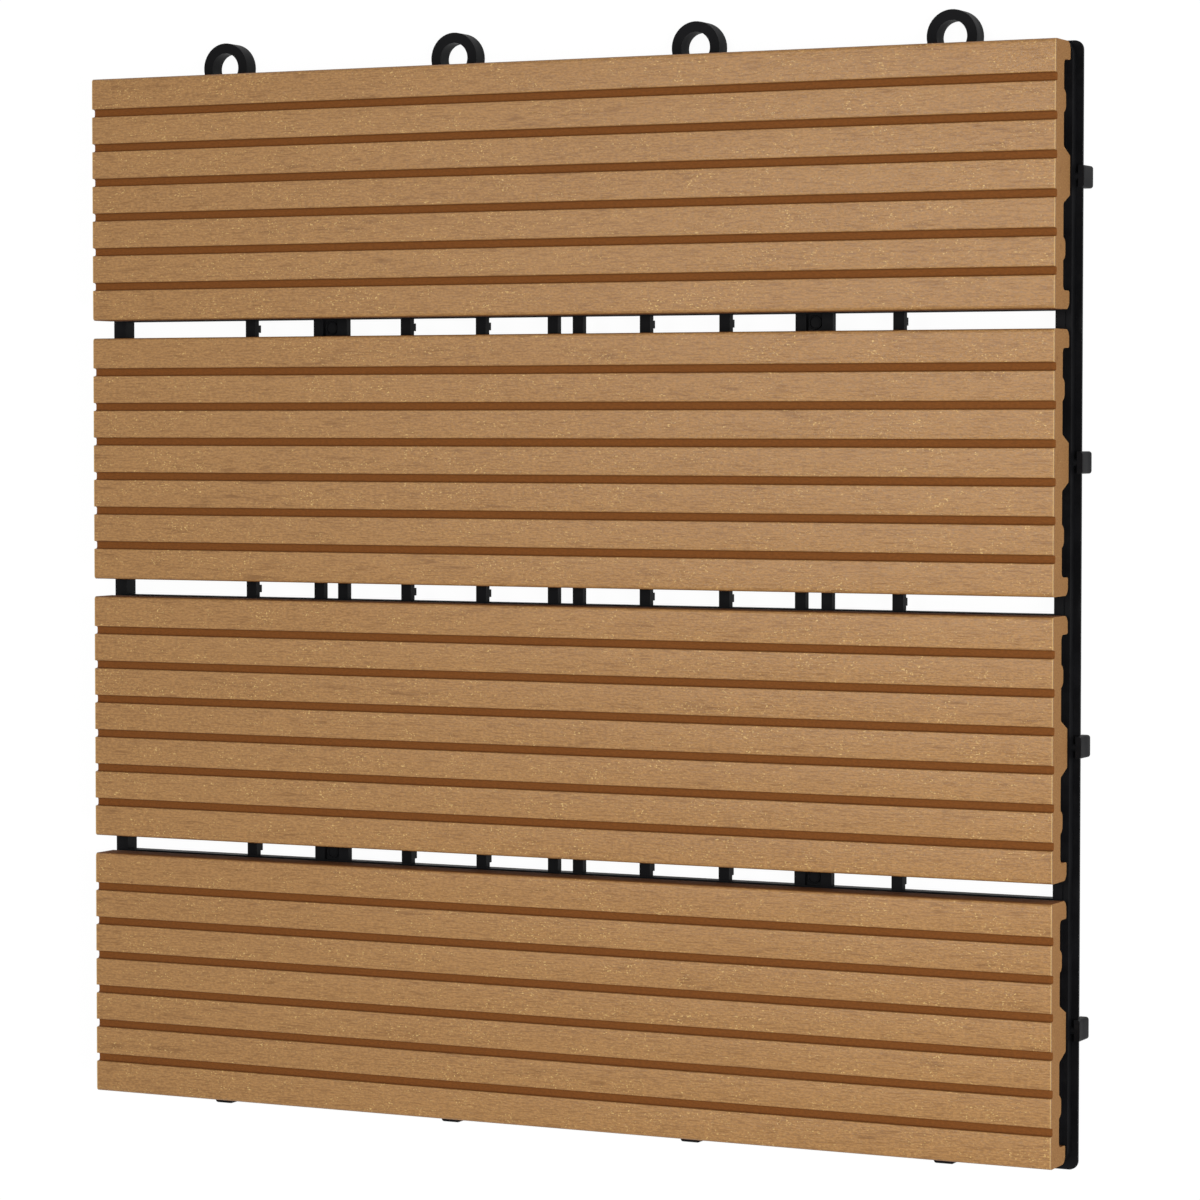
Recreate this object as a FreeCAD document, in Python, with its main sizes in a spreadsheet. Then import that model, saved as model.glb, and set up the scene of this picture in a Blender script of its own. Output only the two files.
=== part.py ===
import FreeCAD, Part
import os
import Sketcher

# Interlocking deck tile: four grooved boards screwed from below to one moulded lattice base.
# Millimetres. The origin is the centre of the base's footprint, on the plane the feet stand on.
# X runs along the boards, Y across them, and Z up. Loops stand out at +Y and -X, pegs at +X and -Y.

SIZES = {
    # The whole tile
    "deck_height": 22,
    "module": 76.2,
    # Grooved boards
    "board_length": 300,
    "board_gap": 5.2,
    "board_thickness": 11.5,
    "board_edge_radius": 1,
    "groove_count": 6,
    "groove_pitch": 10.2,
    "groove_width": 2.4,
    "groove_floor_width": 2,
    "groove_depth": 1.5,
    "leg_width": 5,
    "leg_radius": 2.5,
    "web_thickness": 6.5,
    "web_corner_radius": 1.5,
    "bead_inset": 16,
    "bead_depth": 8.2,
    "bead_radius": 3.3,
    "spine_root_width": 15,
    "spine_face_width": 10.5,
    # Rim of the base
    "rim_outset": 0.4,
    "rim_width": 4.3,
    "rim_bottom": 5.6,
    "rim_corner_radius": 4,
    "rebate_width": 1.6,
    "rebate_depth": 0.5,
    "lip_outset": 1.7,
    "lip_thickness": 0.8,
    "lip_corner_radius": 2.5,
    # Lattice inside the rim
    "rib_width": 3.2,
    "rib_height": 2.2,
    "rib_drop": 0.3,
    "rib_pair_spacing": 7.9,
    "rib_before_pair": 26.9,
    "rib_after_pair": 24.9,
    "rib_lug_width": 2.6,
    "rib_lug_length": 2.2,
    "rib_lug_drop": 1.7,
    "stringer_width": 3,
    "stringer_height": 4,
    "stringer_pair_spacing": 7.8,
    "node_recess": 1,
    # Screw bosses and cross-shaped feet
    "boss_radius": 5.2,
    "boss_wall": 1.6,
    "boss_floor": 3,
    "foot_span": 10.4,
    "foot_web": 2.4,
    "corner_foot_inset": 7.9,
    # Loops and pegs
    "loop_outset": 2.6,
    "loop_radius": 7.3,
    "loop_hole_radius": 4.4,
    "loop_clearance": 0.3,
    "peg_width": 6,
    "peg_depth": 2.4,
    "peg_head_depth": 1.6,
    "peg_top": 8,
    "peg_bottom": 0.6,
    "peg_corner_radius": 0.8,
    "peg_arm_clearance": 0.4,
    # Screws
    "pilot_radius": 1.6,
    "pilot_depth": 9,
    "pilot_clearance": 0.05,
    "screw_hole_radius": 2.1,
    "screw_bite": 8.2,
    "screw_tip": 1.6,
    "screw_head_radius": 3.1,
    "screw_head_height": 2.2,
}

# Lengths worked out from the ones above, as the sheet's formulas
DERIVED = {
    "board_width": "module - board_gap",
    "board_half": "board_width / 2",
    "leg_inside": "board_half - leg_width",
    "web_underside": "board_thickness - web_thickness",
    "seat": "deck_height - board_thickness",
    "rim_half": "board_length / 2 + rim_outset",
    "rim_inner": "rim_half - rim_width",
    "step_half": "rim_half - rebate_width",
    "rebate_top": "seat - rebate_depth",
    "rib_top": "seat - rib_drop",
    "rib_bottom": "rib_top - rib_height",
    "lattice_span": "2 * rim_inner + rim_width",
    "floor_bottom": "seat - boss_floor",
    "boss_bore": "boss_radius - boss_wall",
    "loop_centre": "rim_half + loop_outset",
    "loop_top": "rim_bottom - loop_clearance",
    "peg_arm_radius": "(peg_top - peg_arm_clearance - loop_top) / 2",
    "peg_centre": "4 * module - loop_centre",
    "peg_reach": "peg_centre + peg_depth / 2",
}

BOARD_ROWS = (-1.5, -0.5, 0.5, 1.5)
GAP_ROWS = (-1, 0, 1)
SCREW_COLUMNS = (-1.5, 1.5)
FOOT_COLUMNS = (-1, -0.5, 0, 0.5, 1)
SIDES = (-1, 1)

doc = FreeCAD.newDocument("deck_tile")
sheet = doc.addObject("Spreadsheet::Sheet", "sizes")
cells = [(alias, str(value)) for alias, value in SIZES.items()]
cells += [(alias, "=" + formula) for alias, formula in DERIVED.items()]
for row, (alias, content) in enumerate(cells, start=1):
    sheet.set("A%d" % row, alias)
    sheet.set("B%d" % row, content)
    sheet.setAlias("B%d" % row, alias)
doc.recompute()


def new_body(label):
    body = doc.addObject("PartDesign::Body", label)
    body.Label = label
    body.AllowCompound = True
    return body


def new_sketch(body, name, plane, offset="0"):
    sketch = body.newObject("Sketcher::SketchObject", name)
    planes = {feature.Role: feature for feature in body.Origin.OriginFeatures}
    sketch.AttachmentSupport = (planes[plane], [""])
    sketch.MapMode = "FlatFace"
    sketch.setExpression("AttachmentOffset.Base.z", f"({offset}) * 1 mm")
    return sketch


def pin_point(sketch, curve, point, across, along):
    """Hold one point of a curve at the given expressions from the sketch's origin."""
    for kind, expression in (("DistanceX", across), ("DistanceY", along)):
        here = sketch.getPoint(curve, point)
        start = here.x if kind == "DistanceX" else here.y
        index = sketch.addConstraint(Sketcher.Constraint(kind, -1, 1, curve, point, start))
        sketch.setExpression(f"Constraints[{index}]", f"({expression}) * 1 mm")


def add_outline(sketch, corners):
    """Draw a closed outline of straight lines through corners given as pairs of expressions."""
    first = sketch.GeometryCount
    count = len(corners)
    turns = [FreeCAD.Rotation(FreeCAD.Vector(0, 0, 1), 360 * n / count) for n in range(count)]
    ring = [turn.multVec(FreeCAD.Vector(1, 0, 0)) for turn in turns]
    for start, end in zip(ring, ring[1:] + ring[:1]):
        sketch.addGeometry(Part.LineSegment(start, end), False)
    for n in range(count):
        after = first + (n + 1) % count
        sketch.addConstraint(Sketcher.Constraint("Coincident", first + n, 2, after, 1))
    for n, (across, along) in enumerate(corners):
        pin_point(sketch, first + n, 1, across, along)


def add_rectangle(sketch, centre_x, centre_y, width, depth):
    left, right = (f"({centre_x}) {sign} ({width}) / 2" for sign in "-+")
    near, far = (f"({centre_y}) {sign} ({depth}) / 2" for sign in "-+")
    add_outline(sketch, [(left, near), (right, near), (right, far), (left, far)])


def add_circle(sketch, centre_x, centre_y, radius):
    upward = FreeCAD.Vector(0, 0, 1)
    curve = sketch.addGeometry(Part.Circle(FreeCAD.Vector(1, 1, 0), upward, 1), False)
    pin_point(sketch, curve, 3, centre_x, centre_y)
    index = sketch.addConstraint(Sketcher.Constraint("Radius", curve, 1))
    sketch.setExpression(f"Constraints[{index}]", f"({radius}) * 1 mm")


def add_pad(body, sketch, length, both_ways=False):
    pad = body.newObject("PartDesign::Pad", sketch.Name + "_pad")
    pad.Profile = sketch
    pad.SideType = "Symmetric" if both_ways else "One side"
    pad.setExpression("Length", f"({length}) * 1 mm")
    doc.recompute()
    return pad


def add_pocket(body, sketch, depth, upward=True, both_ways=False):
    """Cut the sketch through a depth, upward from its plane unless told otherwise."""
    before = body.Tip.Shape.Volume
    pocket = body.newObject("PartDesign::Pocket", sketch.Name + "_pocket")
    pocket.Profile = sketch
    pocket.SideType = "Symmetric" if both_ways else "One side"
    pocket.setExpression("Length", f"({depth}) * 1 mm")
    pocket.Reversed = upward
    doc.recompute()
    if pocket.Shape.Volume > before - 0.01:
        raise RuntimeError(f"{pocket.Name} cuts nothing")
    return pocket


def add_fillet(body, radius, name, wanted):
    """Round the edges of the body's tip for which wanted(edge) is true."""
    tip = body.Tip
    edges = [f"Edge{n}" for n, edge in enumerate(tip.Shape.Edges, start=1) if wanted(edge)]
    fillet = body.newObject("PartDesign::Fillet", name)
    fillet.Base = (tip, edges)
    fillet.setExpression("Radius", f"({radius}) * 1 mm")
    doc.recompute()
    return fillet


def at_rim_corner(edge):
    """Tell the upright edges at the rim's corners, while they are still sharp."""
    box = edge.BoundBox
    upright = max(box.XLength, box.YLength) < 0.001
    return upright and min(abs(box.XMin), abs(box.YMin)) > sheet.step_half - 0.001


def at_peg_end(edge):
    """Tell the upright edges at the pegs' outer ends."""
    box = edge.BoundBox
    upright = max(box.XLength, box.YLength) < 0.001
    return upright and max(box.XMin, -box.YMin) > sheet.peg_reach - 0.001


def build_board(label, row):
    """One extruded board: legs, web with two beads and a screw spine below, grooves on top."""
    body = new_body(label)
    body.setExpression("Placement.Base.y", f"{row} * sizes.module * 1 mm")
    body.setExpression("Placement.Base.z", "sizes.seat * 1 mm")

    right_side = [
        ("sizes.spine_face_width / 2", "0"),
        ("sizes.spine_root_width / 2", "sizes.web_underside"),
        ("sizes.leg_inside", "sizes.web_underside"),
        ("sizes.leg_inside", "0"),
        ("sizes.board_half", "0"),
        ("sizes.board_half", "sizes.board_thickness"),
    ]
    left_side = [(f"-({across})", up) for across, up in reversed(right_side)]
    section = new_sketch(body, label + "_section", "YZ_Plane")
    add_outline(section, right_side + left_side)
    add_pad(body, section, "sizes.board_length", both_ways=True)

    beads = new_sketch(body, label + "_beads", "YZ_Plane")
    bead_height = "sizes.board_thickness - sizes.bead_depth + sizes.bead_radius"
    for side in SIDES:
        across = f"{side} * (sizes.board_half - sizes.bead_inset)"
        add_circle(beads, across, bead_height, "sizes.bead_radius")
    add_pad(body, beads, "sizes.board_length", both_ways=True)

    def runs_at(across, up):
        def wanted(edge):
            low, high = edge.BoundBox.YMin, edge.BoundBox.YMax
            flat = high - low < 0.001 and edge.BoundBox.ZLength < 0.001
            return flat and abs(abs(low) - across) < 0.001 and abs(edge.BoundBox.ZMin - up) < 0.001
        return wanted

    rounded = [
        ("sizes.board_edge_radius", "top_edges", sheet.board_half, sheet.board_thickness),
        ("sizes.leg_radius", "leg_edges", sheet.board_half, 0),
        ("sizes.web_corner_radius", "web_corners", sheet.leg_inside, sheet.web_underside),
    ]
    for radius, name, across, up in rounded:
        add_fillet(body, radius, f"{label}_{name}", runs_at(across, up))

    grooves = new_sketch(body, label + "_grooves", "YZ_Plane")
    floor = "sizes.board_thickness - sizes.groove_depth"
    for number in range(SIZES["groove_count"]):
        centre = f"({number} - (sizes.groove_count - 1) / 2) * sizes.groove_pitch"
        add_outline(grooves, [
            (f"{centre} - sizes.groove_floor_width / 2", floor),
            (f"{centre} + sizes.groove_floor_width / 2", floor),
            (f"{centre} + sizes.groove_width / 2", "sizes.board_thickness"),
            (f"{centre} - sizes.groove_width / 2", "sizes.board_thickness"),
        ])
    add_pocket(body, grooves, "sizes.board_length", both_ways=True)

    pilots = new_sketch(body, label + "_pilots", "XY_Plane")
    for column in SCREW_COLUMNS:
        add_circle(pilots, f"{column} * sizes.module", "0", "sizes.pilot_radius")
    add_pocket(body, pilots, "sizes.pilot_depth")
    return body


def add_rim(body):
    """The square rim with a rebated top edge, and a thin lip along the two edges with pegs."""
    # Each level of the rim with its shift to +X and -Y, width, bottom, thickness and corner radius
    wall_height = "sizes.rebate_top - sizes.rim_bottom"
    step_radius = "sizes.rim_corner_radius - sizes.rebate_width"
    lip_width = "2 * sizes.rim_half + sizes.lip_outset"
    levels = [
        ("wall", "0", "2 * sizes.rim_half", "sizes.rim_bottom", wall_height, "sizes.rim_corner_radius"),
        ("step", "0", "2 * sizes.step_half", "sizes.rebate_top", "sizes.rebate_depth", step_radius),
        ("lip", "sizes.lip_outset / 2", lip_width, "sizes.rim_bottom", "sizes.lip_thickness",
         "sizes.lip_corner_radius"),
    ]
    for name, shift, width, bottom, thickness, radius in levels:
        level = new_sketch(body, name, "XY_Plane", bottom)
        add_rectangle(level, shift, f"-({shift})", width, width)
        add_pad(body, level, thickness)
        add_fillet(body, radius, name + "_corners", at_rim_corner)

    inside = new_sketch(body, "inside", "XY_Plane", "sizes.rim_bottom")
    add_rectangle(inside, "0", "0", "2 * sizes.rim_inner", "2 * sizes.rim_inner")
    add_pocket(body, inside, "sizes.seat - sizes.rim_bottom")


def add_loops(body):
    """Loops under the rim at +Y and -X, for the pegs of the tiles laid behind and to the left."""
    loop_rings = new_sketch(body, "loop_rings", "XY_Plane")
    loop_roots = new_sketch(body, "loop_roots", "XY_Plane")
    loop_bores = new_sketch(body, "loop_bores", "XY_Plane")
    root_centre = "(sizes.rim_half - sizes.rim_width / 2)"
    loop_across = "2 * sizes.loop_radius"
    for number in BOARD_ROWS:
        along = f"{number} * sizes.module"
        add_circle(loop_rings, along, "sizes.loop_centre", "sizes.loop_radius")
        add_circle(loop_rings, "-sizes.loop_centre", along, "sizes.loop_radius")
        add_circle(loop_bores, along, "sizes.loop_centre", "sizes.loop_hole_radius")
        add_circle(loop_bores, "-sizes.loop_centre", along, "sizes.loop_hole_radius")
        add_rectangle(loop_roots, along, root_centre, loop_across, "sizes.rim_width")
        add_rectangle(loop_roots, f"-{root_centre}", along, "sizes.rim_width", loop_across)
    add_pad(body, loop_rings, "sizes.loop_top")
    add_pad(body, loop_roots, "sizes.rim_bottom")
    add_pocket(body, loop_bores, "sizes.loop_top")


def add_pegs(body):
    """Pegs outside the rim at +X and -Y, where the next tile's loops come to lie."""
    peg_pins = new_sketch(body, "peg_pins", "XY_Plane", "sizes.peg_bottom")
    peg_heads = new_sketch(body, "peg_heads", "XY_Plane", "sizes.rim_bottom")
    arms_x = new_sketch(body, "peg_arms_x", "YZ_Plane", "sizes.rim_half - sizes.rim_width / 2")
    arms_y = new_sketch(body, "peg_arms_y", "XZ_Plane", "sizes.rim_half - sizes.rim_width / 2")
    head_centre = "(sizes.peg_reach - sizes.peg_head_depth / 2)"
    arm_height = "sizes.peg_top - sizes.peg_arm_radius"
    for number in BOARD_ROWS:
        along = f"{number} * sizes.module"
        add_rectangle(peg_pins, "sizes.peg_centre", along, "sizes.peg_depth", "sizes.peg_width")
        add_rectangle(peg_pins, along, "-sizes.peg_centre", "sizes.peg_width", "sizes.peg_depth")
        add_rectangle(peg_heads, head_centre, along, "sizes.peg_head_depth", "sizes.peg_width")
        add_rectangle(peg_heads, along, f"-{head_centre}", "sizes.peg_width", "sizes.peg_head_depth")
        add_circle(arms_x, along, arm_height, "sizes.peg_arm_radius")
        add_circle(arms_y, along, arm_height, "sizes.peg_arm_radius")
    add_pad(body, peg_pins, "sizes.rim_bottom + sizes.lip_thickness - sizes.peg_bottom")
    add_pad(body, peg_heads, "sizes.peg_top - sizes.rim_bottom")
    arm_length = "sizes.peg_reach - sizes.peg_head_depth / 2 - sizes.rim_half + sizes.rim_width / 2"
    add_pad(body, arms_x, arm_length)
    add_pad(body, arms_y, arm_length)
    add_fillet(body, "sizes.peg_corner_radius", "peg_corners", at_peg_end)


def add_lattice(body):
    """Stringers under the boards, thinner ribs across them, and blocks where the pairs cross."""
    # Each rib and stringer runs half-way into the rim's wall.
    stringers = new_sketch(body, "stringers", "XY_Plane", "sizes.seat - sizes.stringer_height")
    stringer_rows = [f"{row} * sizes.module" for row in BOARD_ROWS]
    ribs = new_sketch(body, "ribs", "XY_Plane", "sizes.rib_bottom")
    single_ribs = []
    for gap in GAP_ROWS:
        single_ribs.append(f"{gap} * sizes.module - sizes.rib_before_pair")
        single_ribs.append(f"{gap} * sizes.module + sizes.rib_after_pair")
    rib_columns = list(single_ribs)
    for gap in GAP_ROWS:
        for side in SIDES:
            stringer_rows.append(f"{gap} * sizes.module + {side} * sizes.stringer_pair_spacing / 2")
            rib_columns.append(f"{gap} * sizes.module + {side} * sizes.rib_pair_spacing / 2")
    for row in stringer_rows:
        add_rectangle(stringers, "0", row, "sizes.lattice_span", "sizes.stringer_width")
    for column in rib_columns:
        add_rectangle(ribs, column, "0", "sizes.rib_width", "sizes.lattice_span")
    add_pad(body, stringers, "sizes.stringer_height")
    add_pad(body, ribs, "sizes.rib_height")

    lugs = new_sketch(body, "lugs", "XY_Plane", "sizes.rib_bottom - sizes.rib_lug_drop")
    for column in single_ribs:
        for row in GAP_ROWS:
            centre = (column, f"{row} * sizes.module")
            add_rectangle(lugs, *centre, "sizes.rib_lug_width", "sizes.rib_lug_length")
    add_pad(body, lugs, "sizes.rib_lug_drop + sizes.rib_height / 2")

    plates = new_sketch(body, "plates", "XY_Plane", "sizes.rib_bottom")
    recesses = new_sketch(body, "recesses", "XY_Plane", "sizes.rib_top")
    recess_width = "sizes.rib_pair_spacing - sizes.rib_width"
    recess_depth = "sizes.stringer_pair_spacing - sizes.stringer_width"
    for column in SIDES:
        for row in SIDES:
            centre = (f"{column} * sizes.module", f"{row} * sizes.module")
            add_rectangle(plates, *centre, "sizes.rib_pair_spacing", "sizes.stringer_pair_spacing")
            add_rectangle(recesses, *centre, recess_width, recess_depth)
    add_pad(body, plates, "sizes.rib_height")
    add_pocket(body, recesses, "sizes.node_recess", upward=False)


def add_feet(body):
    """Hollow bosses that hold the screws, and cross-shaped feet, all under the board centres."""
    bosses = new_sketch(body, "bosses", "XY_Plane")
    bores = new_sketch(body, "bores", "XY_Plane")
    screw_holes = new_sketch(body, "screw_holes", "XY_Plane", "sizes.floor_bottom")
    webs_along = new_sketch(body, "webs_along", "XY_Plane")
    webs_across = new_sketch(body, "webs_across", "XY_Plane")
    corner = "(sizes.rim_half - sizes.corner_foot_inset)"
    feet = [(f"{column} * {corner}", f"{row} * {corner}") for column in SIDES for row in SIDES]
    for row in BOARD_ROWS:
        for column in SCREW_COLUMNS:
            place = (f"{column} * sizes.module", f"{row} * sizes.module")
            add_circle(bosses, *place, "sizes.boss_radius")
            add_circle(bores, *place, "sizes.boss_bore")
            add_circle(screw_holes, *place, "sizes.screw_hole_radius")
        feet += [(f"{column} * sizes.module", f"{row} * sizes.module") for column in FOOT_COLUMNS]
    for place in feet:
        add_rectangle(webs_along, *place, "sizes.foot_span", "sizes.foot_web")
        add_rectangle(webs_across, *place, "sizes.foot_web", "sizes.foot_span")
    for sketch in (bosses, webs_along, webs_across):
        add_pad(body, sketch, "sizes.seat")
    add_pocket(body, bores, "sizes.floor_bottom")
    add_pocket(body, screw_holes, "sizes.boss_floor")


def build_base():
    """The black base, one moulding: rim with a lip, loops, pegs, lattice, bosses and feet."""
    body = new_body("base")
    add_rim(body)
    add_loops(body)
    add_pegs(body)
    add_lattice(body)
    add_feet(body)
    return body


def build_screws():
    """Eight screws, two to a board, each seated under a boss's floor."""
    body = new_body("screws")
    shank = "(sizes.pilot_radius - sizes.pilot_clearance)"
    length = "(sizes.boss_floor + sizes.screw_bite)"
    profile = new_sketch(body, "screw_profile", "XZ_Plane")
    add_outline(profile, [
        ("0", "-sizes.screw_head_height"),
        ("sizes.screw_head_radius", "-sizes.screw_head_height"),
        ("sizes.screw_head_radius", "0"),
        (shank, "0"),
        (shank, f"{length} - sizes.screw_tip"),
        ("0", length),
    ])
    screw = body.newObject("PartDesign::Revolution", "screw")
    screw.Profile = profile
    screw.ReferenceAxis = (profile, ["V_Axis"])
    screw.Angle = 360
    doc.recompute()

    grid = body.newObject("PartDesign::LinearPattern", "screw_grid")
    grid.Originals = [screw]
    planes = {feature.Role: feature for feature in body.Origin.OriginFeatures}
    for suffix, axis, places in (("", "X_Axis", SCREW_COLUMNS), ("2", "Y_Axis", BOARD_ROWS)):
        setattr(grid, "Direction" + suffix, (planes[axis], [""]))
        grid.setExpression("Length" + suffix, "3 * sizes.module * 1 mm")
        setattr(grid, "Occurrences" + suffix, len(places))
    body.Tip = grid
    body.setExpression("Placement.Base.x", "-1.5 * sizes.module * 1 mm")
    body.setExpression("Placement.Base.y", "-1.5 * sizes.module * 1 mm")
    body.setExpression("Placement.Base.z", "sizes.floor_bottom * 1 mm")
    doc.recompute()
    return body


pieces = [build_base()]
for number, row in enumerate(reversed(BOARD_ROWS), start=1):
    pieces.append(build_board(f"board_{number}", row))
pieces.append(build_screws())
doc.recompute()

for item in doc.Objects:
    if "Invalid" in item.State or "Error" in item.State:
        raise RuntimeError(f"{item.Name} failed: {item.State}")
for piece in pieces:
    if piece.Shape.isNull() or not piece.Shape.isValid():
        raise RuntimeError(f"{piece.Label} has no valid shape")

os.makedirs("parts", exist_ok=True)
for piece in pieces:
    piece.Shape.exportStep(f"parts/{piece.Label}.step")
    solids = len(piece.Shape.Solids)
    print(piece.Label, "solids", solids, "volume", round(piece.Shape.Volume), piece.Shape.BoundBox)
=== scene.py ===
import math

import bmesh
import bpy
from mathutils import Matrix, Vector


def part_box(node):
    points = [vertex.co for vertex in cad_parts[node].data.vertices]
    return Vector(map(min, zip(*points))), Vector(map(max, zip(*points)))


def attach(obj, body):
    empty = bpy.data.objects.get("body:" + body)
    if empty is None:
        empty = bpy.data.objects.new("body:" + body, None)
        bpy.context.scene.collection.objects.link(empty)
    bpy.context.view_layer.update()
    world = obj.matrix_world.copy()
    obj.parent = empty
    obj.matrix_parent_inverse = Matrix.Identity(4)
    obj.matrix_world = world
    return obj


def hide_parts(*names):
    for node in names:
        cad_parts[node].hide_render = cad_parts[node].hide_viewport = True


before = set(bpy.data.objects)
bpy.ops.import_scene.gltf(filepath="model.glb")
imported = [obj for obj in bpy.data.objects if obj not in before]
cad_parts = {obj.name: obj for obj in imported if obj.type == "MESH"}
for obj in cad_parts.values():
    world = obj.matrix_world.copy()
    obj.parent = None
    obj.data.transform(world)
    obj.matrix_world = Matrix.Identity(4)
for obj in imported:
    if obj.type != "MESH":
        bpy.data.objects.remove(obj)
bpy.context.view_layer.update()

# Interlocking deck tile: four grooved composite boards on a black moulded lattice base.
# Metres, in the frame of the solids: X along the boards, Y across them, Z up from the ground.

bl_info = {
    "name": "Interlocking deck tile",
    "version": (1, 0, 0),
    "blender": (4, 5, 0),
    "location": "3D View > Sidebar > Deck tile",
    "description": "Builds the boards, moulded base and screws of an interlocking deck tile",
    "category": "Object",
}

MM = 0.001
BOARDS = ("board_1", "board_2", "board_3", "board_4")
ROWS = (-1.5, -0.5, 0.5, 1.5)  # the boards' middles, in modules from the tile's centre
SCREW_COLUMNS = (-1.5, 1.5)
SIDES = (-1, 1)

board_low, board_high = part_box("board_1")
_, base_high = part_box("base")
screws_low, screws_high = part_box("screws")
DECK_TOP = board_high.z
SEAT = base_high.z
BOARD_LENGTH = board_high.x - board_low.x
BOARD_WIDTH = board_high.y - board_low.y
BOARD_THICKNESS = DECK_TOP - SEAT
MODULE = (board_low.y + board_high.y) / 3
SHARP_ANGLE = math.radians(35)
FLAT_ANGLE = math.radians(0.5)
ARC_STEPS = 6

# The board's section
LEG_WIDTH = 5 * MM
WEB_UNDERSIDE = 5 * MM
SPINE_FOOT = 5.25 * MM
SPINE_ROOT = 7.5 * MM
BEAD_FROM_SIDE = 16 * MM
BEAD_UNDERSIDE = 3.35 * MM
BEAD_HALF_WIDTH = 2.6 * MM
BEAD_HALF_ROOT = 3.0 * MM
BEAD_RADIUS = 2.0 * MM
ROOT_RADIUS = 0.5 * MM
LEG_ROOT_RADIUS = 1.5 * MM
LEG_FOOT_RADIUS = 0.8 * MM
SPINE_FOOT_RADIUS = 0.4 * MM
SPINE_ROOT_RADIUS = 0.8 * MM
SIDE_FOOT_RADIUS = 2.5 * MM
SIDE_TOP_RADIUS = 1.0 * MM
GROOVE_TAPER = 0.2 * MM
GROOVE_TOP_RADIUS = 0.25 * MM
GROOVE_FLOOR_RADIUS = 0.55 * MM
END_BEVEL = 0.25 * MM
BOARD_WELD = 0.01 * MM
SHORTEST_EDGE = 0.005 * MM
BASE_WELD = 0.002 * MM
LATHE_WELD = 0.001 * MM

# How far below the deck's face the brushing starts and is full, and how far in the painted highlight on the
# arrises reaches
BRUSH_START = 0.75 * MM
BRUSH_FULL = 0.2 * MM
ARRIS_START = 0.3 * MM
ARRIS_FULL = 0.15 * MM

# The rings in the base's four blocks: (radius, height over the block's floor) in millimetres
RING_PROFILE = [(1.5, -0.2), (1.5, 0.3), (1.65, 0.45), (1.85, 0.45), (2.0, 0.3), (2.0, -0.2)]
BLOCK_FLOOR = SEAT - 1.3 * MM

# The screws, in millimetres
THREAD_START = 0.6
THREAD_DEPTH = 0.45
THREAD_FLAT = 0.45  # share of the pitch that lies at the root
THREAD_CREST = 0.7  # share of the pitch at which the crest stands
TIP_LENGTH = 2.2
TIP_RADIUS = 0.12
TIP_HEIGHT = 0.05
CROSS_SIZE = (3.4, 0.75, 0.1)
CROSS_HEIGHT = 0.08

# The lamps, the floor and the camera
KEY_PLACE = (-0.4, 0.19, 1.6)
KEY_SIZE = 0.5
SIDE_PLACE = (0.88, -0.1, 0.92)
SIDE_SIZE = 0.4
SIDE_SHARE = 1.5  # the side light's power as a share of the key light's
FLOOR_SIZE = 6
FLOOR_DROP = 0.2 * MM
FLOOR_BOUNCE = (0.8, 0.8, 0.8, 1)
FLOOR_SHADE = (0.06, 0.06, 0.06, 1)
FLOOR_GLOW = 0.96
WHITE = (1, 1, 1, 1)
CAMERA_PLACE = Vector((0.5201, 0.0485, 1.0276 + DECK_TOP))
CAMERA_FORWARD = Vector((-0.43951, -0.04284, -0.89721))
CAMERA_UP = Vector((-0.01891, 0.99908, -0.03843))
SENSOR_WIDTH = 36
LENS_PER_FRAME = 4114.27 / 1200  # focal length in widths of the frame


# Settings

class DeckBoardSettings(bpy.types.PropertyGroup):
    groove_count: bpy.props.IntProperty(name="Grooves", description="Grooves along each board", default=6)
    groove_pitch: bpy.props.FloatProperty(
        name="Groove pitch", description="Distance from groove to groove",
        default=10.2 * MM, unit="LENGTH")
    groove_width: bpy.props.FloatProperty(
        name="Groove width", description="Width of a groove at the deck's face",
        default=2.4 * MM, unit="LENGTH")
    groove_depth: bpy.props.FloatProperty(
        name="Groove depth", description="Depth of a groove", default=1.5 * MM, unit="LENGTH")
    wood_colour: bpy.props.FloatVectorProperty(
        name="Deck colour", description="Colour of the brushed deck face",
        default=(0.293, 0.15, 0.05), subtype="COLOR")
    skin_colour: bpy.props.FloatVectorProperty(
        name="Skin colour", description="Colour of the unbrushed skin in grooves and on sides",
        default=(0.155, 0.05, 0.007), subtype="COLOR")


class DeckBaseSettings(bpy.types.PropertyGroup):
    plastic_colour: bpy.props.FloatVectorProperty(
        name="Plastic colour", description="Colour of the moulded base",
        default=(0.004, 0.004, 0.0045), subtype="COLOR")
    edge_radius: bpy.props.FloatProperty(
        name="Edge radius", description="Rounding of the moulding's edges",
        default=0.3 * MM, unit="LENGTH")
    plastic_roughness: bpy.props.FloatProperty(
        name="Plastic roughness", description="Roughness of the moulded surface",
        default=0.5, min=0, max=1)


class DeckScrewSettings(bpy.types.PropertyGroup):
    head_radius: bpy.props.FloatProperty(
        name="Head radius", description="Radius of a screw's head", default=3.1 * MM, unit="LENGTH")
    head_height: bpy.props.FloatProperty(
        name="Head height", description="Height of a screw's head", default=2.2 * MM, unit="LENGTH")
    shank_radius: bpy.props.FloatProperty(
        name="Shank radius", description="Radius over the thread", default=1.54 * MM, unit="LENGTH")
    thread_pitch: bpy.props.FloatProperty(
        name="Thread pitch", description="Distance from turn to turn", default=1.1 * MM, unit="LENGTH")
    steel_colour: bpy.props.FloatVectorProperty(
        name="Steel colour", description="Colour of the zinc-plated steel",
        default=(0.62, 0.62, 0.6), subtype="COLOR")


class DeckStageSettings(bpy.types.PropertyGroup):
    key_power: bpy.props.FloatProperty(
        name="Key light", description="Power of the large light", default=7.3, unit="POWER")
    sky_strength: bpy.props.FloatProperty(
        name="Sky light", description="Strength of the even light all round", default=0.4)


# Node helpers

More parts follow.
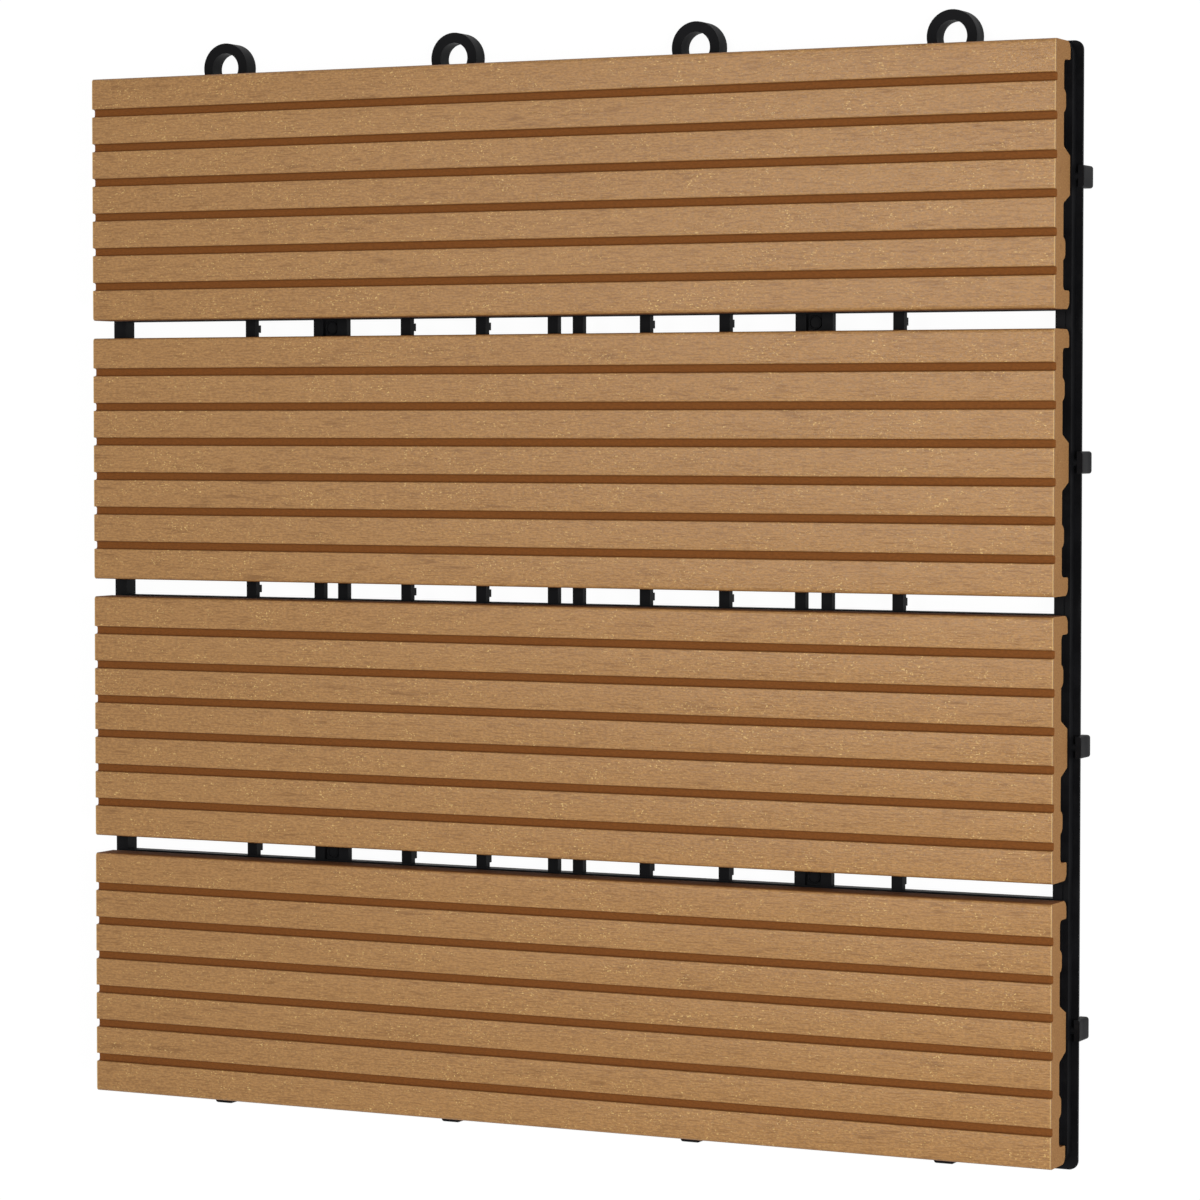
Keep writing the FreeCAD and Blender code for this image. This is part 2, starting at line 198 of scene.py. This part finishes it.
def add_node(tree, kind, **values):
    """Add a shader node; values are attributes, or inputs where the node has one of that name."""
    node = tree.nodes.new(kind)
    for name, value in values.items():
        socket = node.inputs.get(name.replace("_", " "))
        if socket is not None:
            socket.default_value = value
        else:
            setattr(node, name, value)
    return node


def link(tree, source, target):
    tree.links.new(source, target)


def link_or_set(tree, value, socket):
    """Feed a socket from another one, or give it a plain value."""
    if isinstance(value, bpy.types.NodeSocket):
        link(tree, value, socket)
    else:
        socket.default_value = value


def ramp(tree, source, low, high, to_low=0.0, to_high=1.0):
    """Map a value from one range to another, clamped and smooth."""
    node = add_node(
        tree, "ShaderNodeMapRange", interpolation_type="SMOOTHSTEP",
        From_Min=low, From_Max=high, To_Min=to_low, To_Max=to_high)
    link(tree, source, node.inputs["Value"])
    return node.outputs["Result"]


def maths(tree, operation, *values):
    node = add_node(tree, "ShaderNodeMath", operation=operation)
    for socket, value in zip(node.inputs, values):
        link_or_set(tree, value, socket)
    return node.outputs[0]


def mix_colour(tree, factor, first, second):
    """Mix two colours, each a socket or a plain colour."""
    node = add_node(tree, "ShaderNodeMix", data_type="RGBA")
    sockets = [socket for socket in node.inputs if socket.type == "RGBA"]
    for socket, colour in zip(sockets, (first, second)):
        if isinstance(colour, tuple):
            colour = (*colour, 1)
        link_or_set(tree, colour, socket)
    link(tree, factor, node.inputs["Factor"])
    return next(socket for socket in node.outputs if socket.type == "RGBA")


def lay_over(tree, colour, layers):
    """Lay colours over one another, each by its mask and strength."""
    for mask, strength, layer in layers:
        colour = mix_colour(tree, maths(tree, "MULTIPLY", mask, strength), colour, layer)
    return colour


def split(tree, vector):
    """The X, Y and Z of a vector."""
    node = tree.nodes.new("ShaderNodeSeparateXYZ")
    link(tree, vector, node.inputs[0])
    return node.outputs


def facing(tree):
    """The X, Y and Z of the surface's normal."""
    return split(tree, tree.nodes.new("ShaderNodeNewGeometry").outputs["Normal"])


def new_group(name, inputs, outputs):
    """A node group with named float and vector sockets."""
    group = bpy.data.node_groups.new(name, "ShaderNodeTree")
    for direction, sockets in (("INPUT", inputs), ("OUTPUT", outputs)):
        for label, kind, value in sockets:
            socket = group.interface.new_socket(
                name=label, in_out=direction, socket_type="NodeSocket" + kind)
            if value is not None:
                socket.default_value = value
    return group, group.nodes.new("NodeGroupInput"), group.nodes.new("NodeGroupOutput")


def make_streak_group():
    """Noise drawn out along one way: streaks, fibres, specks or, with an even stretch, mottling."""
    group, inputs, outputs = new_group(
        "stretched_noise",
        [("Vector", "Vector", None), ("Stretch", "Vector", (1, 1, 1)), ("Detail", "Float", 4.0),
         ("Low", "Float", 0.4), ("High", "Float", 0.6)],
        [("Mask", "Float", None), ("Raw", "Float", None)])
    scale = add_node(group, "ShaderNodeVectorMath", operation="MULTIPLY")
    link(group, inputs.outputs["Vector"], scale.inputs[0])
    link(group, inputs.outputs["Stretch"], scale.inputs[1])
    noise = add_node(group, "ShaderNodeTexNoise", Scale=1.0, Roughness=0.6)
    link(group, scale.outputs[0], noise.inputs["Vector"])
    link(group, inputs.outputs["Detail"], noise.inputs["Detail"])
    mask = add_node(group, "ShaderNodeMapRange", interpolation_type="SMOOTHSTEP")
    link(group, noise.outputs["Fac"], mask.inputs["Value"])
    link(group, inputs.outputs["Low"], mask.inputs["From Min"])
    link(group, inputs.outputs["High"], mask.inputs["From Max"])
    link(group, mask.outputs["Result"], outputs.inputs["Mask"])
    link(group, noise.outputs["Fac"], outputs.inputs["Raw"])


def streaks(tree, coordinates, stretch, detail, low, high):
    """The mask and the raw value of the stretched noise."""
    node = tree.nodes.new("ShaderNodeGroup")
    node.node_tree = bpy.data.node_groups["stretched_noise"]
    for label, value in (("Stretch", stretch), ("Detail", detail), ("Low", low), ("High", high)):
        node.inputs[label].default_value = value
    link(tree, coordinates, node.inputs["Vector"])
    return node.outputs["Mask"], node.outputs["Raw"]


def new_material(name):
    """A material with a Principled shader, and its Object coordinates."""
    material = bpy.data.materials.new(name)
    material.use_nodes = True
    tree = material.node_tree
    shader = tree.nodes["Principled BSDF"]
    coordinates = tree.nodes.new("ShaderNodeTexCoord").outputs["Object"]
    return material, tree, shader, coordinates


def add_bump(tree, shader, height, distance):
    bump = add_node(tree, "ShaderNodeBump", Strength=1.0, Distance=distance)
    link(tree, height, bump.inputs["Height"])
    link(tree, bump.outputs["Normal"], shader.inputs["Normal"])


# Materials

def decking_material():
    """Wood-plastic composite: brushed tan face with fibres and specks, darker skin elsewhere."""
    settings = bpy.context.scene.deck_boards
    material, tree, shader, coordinates = new_material("composite_finish")
    broad, _ = streaks(tree, coordinates, stretch=(11, 55, 55), detail=3.0, low=0.3, high=0.7)
    grain, grain_raw = streaks(tree, coordinates, stretch=(900, 2000, 2000), detail=4.0, low=0.4, high=0.6)
    fibres, fibres_raw = streaks(tree, coordinates, stretch=(240, 2700, 2700), detail=3.0, low=0.5, high=0.66)
    lines, _ = streaks(tree, coordinates, stretch=(130, 3200, 3200), detail=2.0, low=0.4, high=0.52)
    dashes, _ = streaks(tree, coordinates, stretch=(75, 430, 430), detail=3.0, low=0.58, high=0.72)
    clusters, _ = streaks(tree, coordinates, stretch=(110, 200, 200), detail=3.0, low=0.4, high=0.66)
    specks, _ = streaks(tree, coordinates, stretch=(1500, 2300, 2300), detail=1.0, low=0.62, high=0.74)
    spots, _ = streaks(tree, coordinates, stretch=(330, 420, 420), detail=2.0, low=0.76, high=0.8)

    wood = tuple(settings.wood_colour)
    skin = tuple(settings.skin_colour)
    dark_wood = (wood[0] * 0.68, wood[1] * 0.6, wood[2] * 0.5)
    pale_wood = tuple(channel * 1.4 for channel in wood)
    speck_colour = (wood[0] * 1.5 + 0.2, wood[1] * 1.8 + 0.15, wood[2] * 1.5 + 0.08)
    pale_skin = tuple(channel * 1.5 for channel in skin)
    face = lay_over(tree, wood, (
        (broad, 0.2, dark_wood),
        (grain, 0.7, pale_wood),
        (fibres, 0.6, dark_wood),
        (maths(tree, "MULTIPLY", dashes, lines), 0.8, dark_wood),
        (maths(tree, "MULTIPLY", specks, clusters), 1.0, speck_colour),
        (spots, 0.6, skin),
    ))
    shade = lay_over(tree, skin, ((grain, 0.4, pale_skin),))

    # The deck face is brushed down to just below the ridges' edges.
    along, _, height = split(tree, coordinates)
    brush_reach = (DECK_TOP - BRUSH_START, DECK_TOP - BRUSH_FULL)
    brushed = ramp(tree, height, *brush_reach)
    # The sawn ends show the same body as the brushed face, painted a little darker: painted shade on the
    # upright end faces.
    sawn = ramp(tree, maths(tree, "ABSOLUTE", facing(tree)["X"]), 0.7, 0.9, 0.0, 0.8)
    colour = mix_colour(tree, maths(tree, "MAXIMUM", brushed, sawn), shade, face)
    colour = lay_over(tree, colour, ((sawn, 0.3, dark_wood),))
    # The arrises at the ends of the deck face are painted pale: a painted highlight where the edges catch the
    # light.
    half = BOARD_LENGTH / 2
    arris = ramp(tree, maths(tree, "ABSOLUTE", along), half - ARRIS_START, half - ARRIS_FULL, 0.0, 0.6)
    arris_highlight = maths(tree, "MULTIPLY", maths(tree, "SUBTRACT", arris, sawn), brushed)
    colour = mix_colour(tree, arris_highlight, colour, speck_colour)
    link(tree, colour, shader.inputs["Base Color"])

    face_roughness = ramp(tree, grain_raw, 0.3, 0.7, 0.27, 0.4)
    skin_roughness = ramp(tree, height, *brush_reach, 0.9, 0.0)
    link(tree, maths(tree, "MAXIMUM", face_roughness, skin_roughness), shader.inputs["Roughness"])
    relief = maths(tree, "ADD", grain_raw, maths(tree, "MULTIPLY", fibres_raw, 0.8))
    add_bump(tree, shader, relief, 0.07 * MM)
    shader.inputs["Specular IOR Level"].default_value = 0.3
    return material


def plastic_material():
    """Black moulded plastic with a fine-grained surface and a little dust on level faces."""
    settings = bpy.context.scene.deck_base
    material, tree, shader, coordinates = new_material("plastic_finish")
    _, grain_raw = streaks(tree, coordinates, stretch=(1800, 1800, 1800), detail=3.0, low=0.35, high=0.65)
    flow, flow_raw = streaks(tree, coordinates, stretch=(40, 70, 200), detail=4.0, low=0.35, high=0.7)
    dust, _ = streaks(tree, coordinates, stretch=(260, 260, 260), detail=6.0, low=0.52, high=0.75)
    plastic = tuple(settings.plastic_colour)
    grey = tuple(channel * 1.8 for channel in plastic)
    dusty = (0.03, 0.028, 0.026)
    level = ramp(tree, facing(tree)["Z"], 0.75, 1.0, 0.0, 0.1)
    colour = mix_colour(tree, flow, plastic, grey)
    colour = mix_colour(tree, maths(tree, "MULTIPLY", dust, level), colour, dusty)
    link(tree, colour, shader.inputs["Base Color"])
    smoothest = settings.plastic_roughness - 0.07
    link(tree, ramp(tree, flow_raw, 0.3, 0.7, smoothest, smoothest + 0.16), shader.inputs["Roughness"])
    add_bump(tree, shader, grain_raw, 0.02 * MM)
    shader.inputs["Specular IOR Level"].default_value = 0.05
    return material


def steel_material():
    """Zinc-plated steel with fine turning marks and a faint bloom."""
    settings = bpy.context.scene.deck_screws
    material, tree, shader, coordinates = new_material("steel_finish")
    _, marks_raw = streaks(tree, coordinates, stretch=(2500, 2500, 9000), detail=3.0, low=0.4, high=0.6)
    bloom, bloom_raw = streaks(tree, coordinates, stretch=(700, 700, 700), detail=5.0, low=0.45, high=0.7)
    steel = tuple(settings.steel_colour)
    dull = tuple(channel * 0.55 for channel in steel)
    link(tree, mix_colour(tree, bloom, steel, dull), shader.inputs["Base Color"])
    shader.inputs["Metallic"].default_value = 1.0
    link(tree, ramp(tree, bloom_raw, 0.35, 0.7, 0.24, 0.45), shader.inputs["Roughness"])
    add_bump(tree, shader, marks_raw, 0.01 * MM)
    return material


# The finish of each material slot, with its name
FINISHES = {
    "decking": ("composite_finish", decking_material),
    "base_plastic": ("plastic_finish", plastic_material),
    "screw_steel": ("steel_finish", steel_material),
}


def material_for(slot):
    name, make = FINISHES[slot]
    return bpy.data.materials.get(name) or make()


# Mesh helpers

def finish_piece(name, bm, slot):
    """Turn a bmesh into a piece of the tile with its finish, riding on the tile's one body."""
    bmesh.ops.recalc_face_normals(bm, faces=bm.faces)
    for edge in bm.edges:
        edge.smooth = len(edge.link_faces) != 2 or edge.calc_face_angle(0) < SHARP_ANGLE
    for face in bm.faces:
        face.smooth = True
    mesh = bpy.data.meshes.new(name)
    bm.to_mesh(mesh)
    bm.free()
    piece = bpy.data.objects.new(name, mesh)
    bpy.context.scene.collection.objects.link(piece)
    mesh.materials.append(material_for(slot))
    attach(piece, "root")
    return piece


def add_soft_edges(piece, radius):
    """Round a piece's sharp edges a little, so that they catch the light."""
    bevel = piece.modifiers.new("soft_edges", "BEVEL")
    bevel.width = radius
    bevel.segments = 2
    bevel.limit_method = "ANGLE"
    bevel.angle_limit = SHARP_ANGLE
    bevel.harden_normals = True


def rounded_outline(corners):
    """Points of an outline whose corners, each (across, up, radius), are rounded by arcs."""
    points = []
    for number, (across, up, radius) in enumerate(corners):
        here = Vector((across, up))
        before = Vector(corners[number - 1][:2]) - here
        after = Vector(corners[(number + 1) % len(corners)][:2]) - here
        before.normalize()
        after.normalize()
        half_angle = before.angle(after) / 2
        reach = radius / math.tan(half_angle)
        middle = (before + after).normalized()
        centre = here + middle * (radius / math.sin(half_angle))
        start = here + before * reach - centre
        sweep = (here + after * reach - centre).angle_signed(start)
        for step in range(ARC_STEPS + 1):
            turn = Matrix.Rotation(sweep * step / ARC_STEPS, 2)
            points.append(centre + turn @ start)
    return points


def add_lathe(bm, profile, centre, closed=False, steps=32):
    """Spin a profile of (radius, height) points in millimetres about the upright through a point."""
    made = [bm.verts.new(centre + Vector((radius * MM, 0, height * MM))) for radius, height in profile]
    pairs = list(zip(made, made[1:]))
    if closed:
        pairs.append((made[-1], made[0]))
    edges = [bm.edges.new(pair) for pair in pairs]
    bmesh.ops.spin(
        bm, geom=made + edges, cent=centre, axis=(0, 0, 1), angle=2 * math.pi, steps=steps, use_merge=True)
    bmesh.ops.remove_doubles(bm, verts=bm.verts, dist=LATHE_WELD)


def board_corners(settings):
    """The board's section, from the spine's right foot round to its left one."""
    half = BOARD_WIDTH / 2
    top = BOARD_THICKNESS
    leg_inside = half - LEG_WIDTH
    bead = half - BEAD_FROM_SIDE
    right = [
        (SPINE_FOOT, 0, SPINE_FOOT_RADIUS),
        (SPINE_ROOT, WEB_UNDERSIDE, SPINE_ROOT_RADIUS),
        (bead - BEAD_HALF_ROOT, WEB_UNDERSIDE, ROOT_RADIUS),
        (bead - BEAD_HALF_WIDTH, BEAD_UNDERSIDE, BEAD_RADIUS),
        (bead + BEAD_HALF_WIDTH, BEAD_UNDERSIDE, BEAD_RADIUS),
        (bead + BEAD_HALF_ROOT, WEB_UNDERSIDE, ROOT_RADIUS),
        (leg_inside, WEB_UNDERSIDE, LEG_ROOT_RADIUS),
        (leg_inside, 0, LEG_FOOT_RADIUS),
        (half, 0, SIDE_FOOT_RADIUS),
        (half, top, SIDE_TOP_RADIUS),
    ]
    left = [(-across, up, radius) for across, up, radius in reversed(right)]
    lip = settings.groove_width / 2
    foot = lip - GROOVE_TAPER
    floor = top - settings.groove_depth
    grooves = []
    for number in reversed(range(settings.groove_count)):
        centre = (number - (settings.groove_count - 1) / 2) * settings.groove_pitch
        grooves += [
            (centre + lip, top, GROOVE_TOP_RADIUS),
            (centre + foot, floor, GROOVE_FLOOR_RADIUS),
            (centre - foot, floor, GROOVE_FLOOR_RADIUS),
            (centre - lip, top, GROOVE_TOP_RADIUS),
        ]
    return right + grooves + left


def screw_profile(settings):
    """A screw's (radius, height) points in millimetres, from the head's middle up to the tip."""
    radius = settings.head_radius / MM
    height = settings.head_height / MM
    shank = settings.shank_radius / MM
    pitch = settings.thread_pitch / MM
    root = shank - THREAD_DEPTH
    length = (screws_high.z - screws_low.z - settings.head_height) / MM
    profile = [
        (0, 0.35 - height),
        (radius * 0.45, 0.05 - height),
        (radius * 0.75, 0.35 - height),
        (radius * 0.95, 0.9 - height),
        (radius, -0.35),
        (radius - 0.12, 0),
        (shank, 0),
    ]
    level = THREAD_START
    while level < length - TIP_LENGTH:
        profile += [
            (root, level),
            (root, level + pitch * THREAD_FLAT),
            (shank, level + pitch * THREAD_CREST),
        ]
        level += pitch
    return profile + [(root, level), (TIP_RADIUS, length - TIP_HEIGHT), (0, length)]


# Operators, one for each piece or group of like pieces

class DECK_OT_boards(bpy.types.Operator):
    """Extrude the four grooved boards"""
    bl_idname = "deck.boards"
    bl_label = "Boards"

    def execute(self, context):
        outline = rounded_outline(board_corners(context.scene.deck_boards))
        for node in BOARDS:
            low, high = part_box(node)
            middle = (low.y + high.y) / 2
            bm = bmesh.new()
            section = [bm.verts.new((low.x, middle + point.x, low.z + point.y)) for point in outline]
            face = bm.faces.new(section)
            grown = bmesh.ops.extrude_face_region(bm, geom=[face])
            far = [item for item in grown["geom"] if isinstance(item, bmesh.types.BMVert)]
            bmesh.ops.translate(bm, verts=far, vec=(high.x - low.x, 0, 0))
            # Only the long straight edges of the ends are bevelled, not the arcs between them.
            ends = [
                edge for edge in bm.edges
                if edge.verts[0].co.x == edge.verts[1].co.x and edge.calc_length() > MM]
            bmesh.ops.bevel(
                bm, geom=ends, offset=END_BEVEL, affect="EDGES", segments=1, profile=0.5, material=-1)
            bmesh.ops.remove_doubles(bm, verts=bm.verts, dist=BOARD_WELD)
            bmesh.ops.dissolve_degenerate(bm, edges=bm.edges, dist=SHORTEST_EDGE)
            piece = finish_piece(node + "_look", bm, "decking")
            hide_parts(node)
        return {"FINISHED"}


class DECK_OT_base(bpy.types.Operator):
    """Finish the moulded base and add the small rings in its four blocks"""
    bl_idname = "deck.base"
    bl_label = "Base"

    def execute(self, context):
        bm = bmesh.new()
        bm.from_mesh(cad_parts["base"].data)
        bmesh.ops.remove_doubles(bm, verts=bm.verts, dist=BASE_WELD)
        bmesh.ops.dissolve_limit(bm, angle_limit=FLAT_ANGLE, verts=bm.verts, edges=bm.edges)
        base = finish_piece("base_look", bm, "base_plastic")
        add_soft_edges(base, context.scene.deck_base.edge_radius)
        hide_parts("base")
        bm = bmesh.new()
        for column in SIDES:
            for row in SIDES:
                centre = Vector((column * MODULE, row * MODULE, BLOCK_FLOOR))
                add_lathe(bm, RING_PROFILE, centre, closed=True)
        finish_piece("block_rings", bm, "base_plastic")
        return {"FINISHED"}


class DECK_OT_screws(bpy.types.Operator):
    """Turn the eight pan-head screws, with rings for the thread and a thin raised cross for the recess"""
    bl_idname = "deck.screws"
    bl_label = "Screws"

    def execute(self, context):
        settings = context.scene.deck_screws
        profile = screw_profile(settings)
        cross_at = Vector((0, 0, CROSS_HEIGHT * MM - settings.head_height))
        bm = bmesh.new()
        for column in SCREW_COLUMNS:
            for row in ROWS:
                place = Vector((column * MODULE, row * MODULE, screws_low.z + settings.head_height))
                single = bmesh.new()
                add_lathe(single, profile, place, steps=28)
                for turn in (0, math.pi / 2):
                    cross = bmesh.ops.create_cube(single, size=1)["verts"]
                    bmesh.ops.scale(single, verts=cross, vec=[side * MM for side in CROSS_SIZE])
                    spot = Matrix.Rotation(turn, 3, "Z")
                    bmesh.ops.rotate(single, verts=cross, cent=(0, 0, 0), matrix=spot)
                    bmesh.ops.translate(single, verts=cross, vec=place + cross_at)
                mesh = bpy.data.meshes.new("screw")
                single.to_mesh(mesh)
                single.free()
                bm.from_mesh(mesh)
                bpy.data.meshes.remove(mesh)
        piece = finish_piece("screws_look", bm, "screw_steel")
        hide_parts("screws")
        return {"FINISHED"}


class DECK_OT_stage(bpy.types.Operator):
    """Set the pale floor, the soft light and the camera"""
    bl_idname = "deck.stage"
    bl_label = "Stage"

    def execute(self, context):
        settings = context.scene.deck_stage
        add_floor()
        add_sky(settings.sky_strength)
        add_lamp("key_light", KEY_PLACE, KEY_SIZE, settings.key_power)
        add_lamp("side_light", SIDE_PLACE, SIDE_SIZE, settings.key_power * SIDE_SHARE)
        add_camera()
        context.scene.view_settings.view_transform = "Standard"
        return {"FINISHED"}


# The stage

def show_as(tree, shown, unseen):
    """Give camera, glossy and transmission rays one shader and all other rays another."""
    rays = tree.nodes.new("ShaderNodeLightPath").outputs
    seen = maths(tree, "MAXIMUM", rays["Is Camera Ray"], rays["Is Glossy Ray"])
    seen = maths(tree, "MAXIMUM", seen, rays["Is Transmission Ray"])
    return mix_shaders(tree, seen, unseen, shown)


def mix_shaders(tree, factor, first, second):
    node = tree.nodes.new("ShaderNodeMixShader")
    for source, socket in zip((factor, first, second), node.inputs):
        link(tree, source, socket)
    return node.outputs[0]


def add_floor():
    """A pale floor that shows white, keeps a faint shadow of the tile and is clear from below."""
    bm = bmesh.new()
    under_feet = Matrix.Translation((0, 0, -FLOOR_DROP))
    bmesh.ops.create_grid(bm, x_segments=1, y_segments=1, size=FLOOR_SIZE, matrix=under_feet)
    mesh = bpy.data.meshes.new("floor")
    bm.to_mesh(mesh)
    bm.free()
    floor = bpy.data.objects.new("floor", mesh)
    bpy.context.scene.collection.objects.link(floor)
    material = bpy.data.materials.new("floor")
    material.use_nodes = True
    tree = material.node_tree
    tree.nodes.clear()
    output = tree.nodes.new("ShaderNodeOutputMaterial")
    bounce = add_node(tree, "ShaderNodeBsdfDiffuse", Color=FLOOR_BOUNCE)
    faint = add_node(tree, "ShaderNodeBsdfDiffuse", Color=FLOOR_SHADE)
    glow = add_node(tree, "ShaderNodeEmission", Strength=FLOOR_GLOW)
    white = tree.nodes.new("ShaderNodeAddShader")
    link(tree, faint.outputs[0], white.inputs[0])
    link(tree, glow.outputs[0], white.inputs[1])
    above = show_as(tree, white.outputs[0], bounce.outputs[0])
    clear = tree.nodes.new("ShaderNodeBsdfTransparent").outputs[0]
    from_below = tree.nodes.new("ShaderNodeNewGeometry").outputs["Backfacing"]
    link(tree, mix_shaders(tree, from_below, above, clear), output.inputs["Surface"])
    mesh.materials.append(material)


def add_sky(strength):
    """Even light from all round, shown as white."""
    world = bpy.data.worlds.new("sky")
    bpy.context.scene.world = world
    world.use_nodes = True
    tree = world.node_tree
    tree.nodes.clear()
    output = tree.nodes.new("ShaderNodeOutputWorld")
    light = add_node(tree, "ShaderNodeBackground", Color=WHITE, Strength=strength)
    white = add_node(tree, "ShaderNodeBackground", Color=WHITE, Strength=1.0)
    link(tree, show_as(tree, white.outputs[0], light.outputs[0]), output.inputs["Surface"])


def add_lamp(name, place, size, power):
    """A square area lamp that looks at the middle of the tile."""
    lamp = bpy.data.lights.new(name, "AREA")
    lamp.size = size
    lamp.energy = power
    lamp_object = bpy.data.objects.new(name, lamp)
    lamp_object.location = place
    lamp_object.rotation_euler = (-Vector(place)).to_track_quat("-Z", "Y").to_euler()
    bpy.context.scene.collection.objects.link(lamp_object)


def add_camera():
    """A long lens high over the right-hand side, looking down on the deck."""
    camera = bpy.data.cameras.new("camera")
    camera.sensor_width = SENSOR_WIDTH
    camera.lens = SENSOR_WIDTH * LENS_PER_FRAME
    camera.clip_start = 0.05
    camera_object = bpy.data.objects.new("camera", camera)
    forward = CAMERA_FORWARD.normalized()
    right = forward.cross(CAMERA_UP).normalized()
    up = right.cross(forward)
    turned = Matrix((right, up, -forward)).transposed()
    camera_object.matrix_world = Matrix.LocRotScale(CAMERA_PLACE, turned.to_quaternion(), None)
    bpy.context.scene.collection.objects.link(camera_object)
    bpy.context.scene.camera = camera_object


# The panel and the add-on's registration

class DECK_PT_panel(bpy.types.Panel):
    """The deck tile's pieces and settings"""
    bl_idname = "DECK_PT_panel"
    bl_label = "Deck tile"
    bl_space_type = "VIEW_3D"
    bl_region_type = "UI"
    bl_category = "Deck tile"

    def draw(self, context):
        for attribute, group, operator in PARTS:
            settings = getattr(context.scene, attribute)
            for name in group.__annotations__:
                self.layout.prop(settings, name)
            self.layout.operator(operator.bl_idname)


# Each part of the tile and the stage, in the order of making: its settings and its operator
PARTS = (
    ("deck_boards", DeckBoardSettings, DECK_OT_boards),
    ("deck_base", DeckBaseSettings, DECK_OT_base),
    ("deck_screws", DeckScrewSettings, DECK_OT_screws),
    ("deck_stage", DeckStageSettings, DECK_OT_stage),
)


def register():
    for attribute, group, operator in PARTS:
        bpy.utils.register_class(group)
        setattr(bpy.types.Scene, attribute, bpy.props.PointerProperty(type=group))
        bpy.utils.register_class(operator)
    bpy.utils.register_class(DECK_PT_panel)


def unregister():
    bpy.utils.unregister_class(DECK_PT_panel)
    for attribute, group, operator in reversed(PARTS):
        bpy.utils.unregister_class(operator)
        delattr(bpy.types.Scene, attribute)
        bpy.utils.unregister_class(group)


def main():
    register()
    make_streak_group()
    bpy.ops.deck.boards()
    bpy.ops.deck.base()
    bpy.ops.deck.screws()
    bpy.ops.deck.stage()


if __name__ == "__main__":
    main()
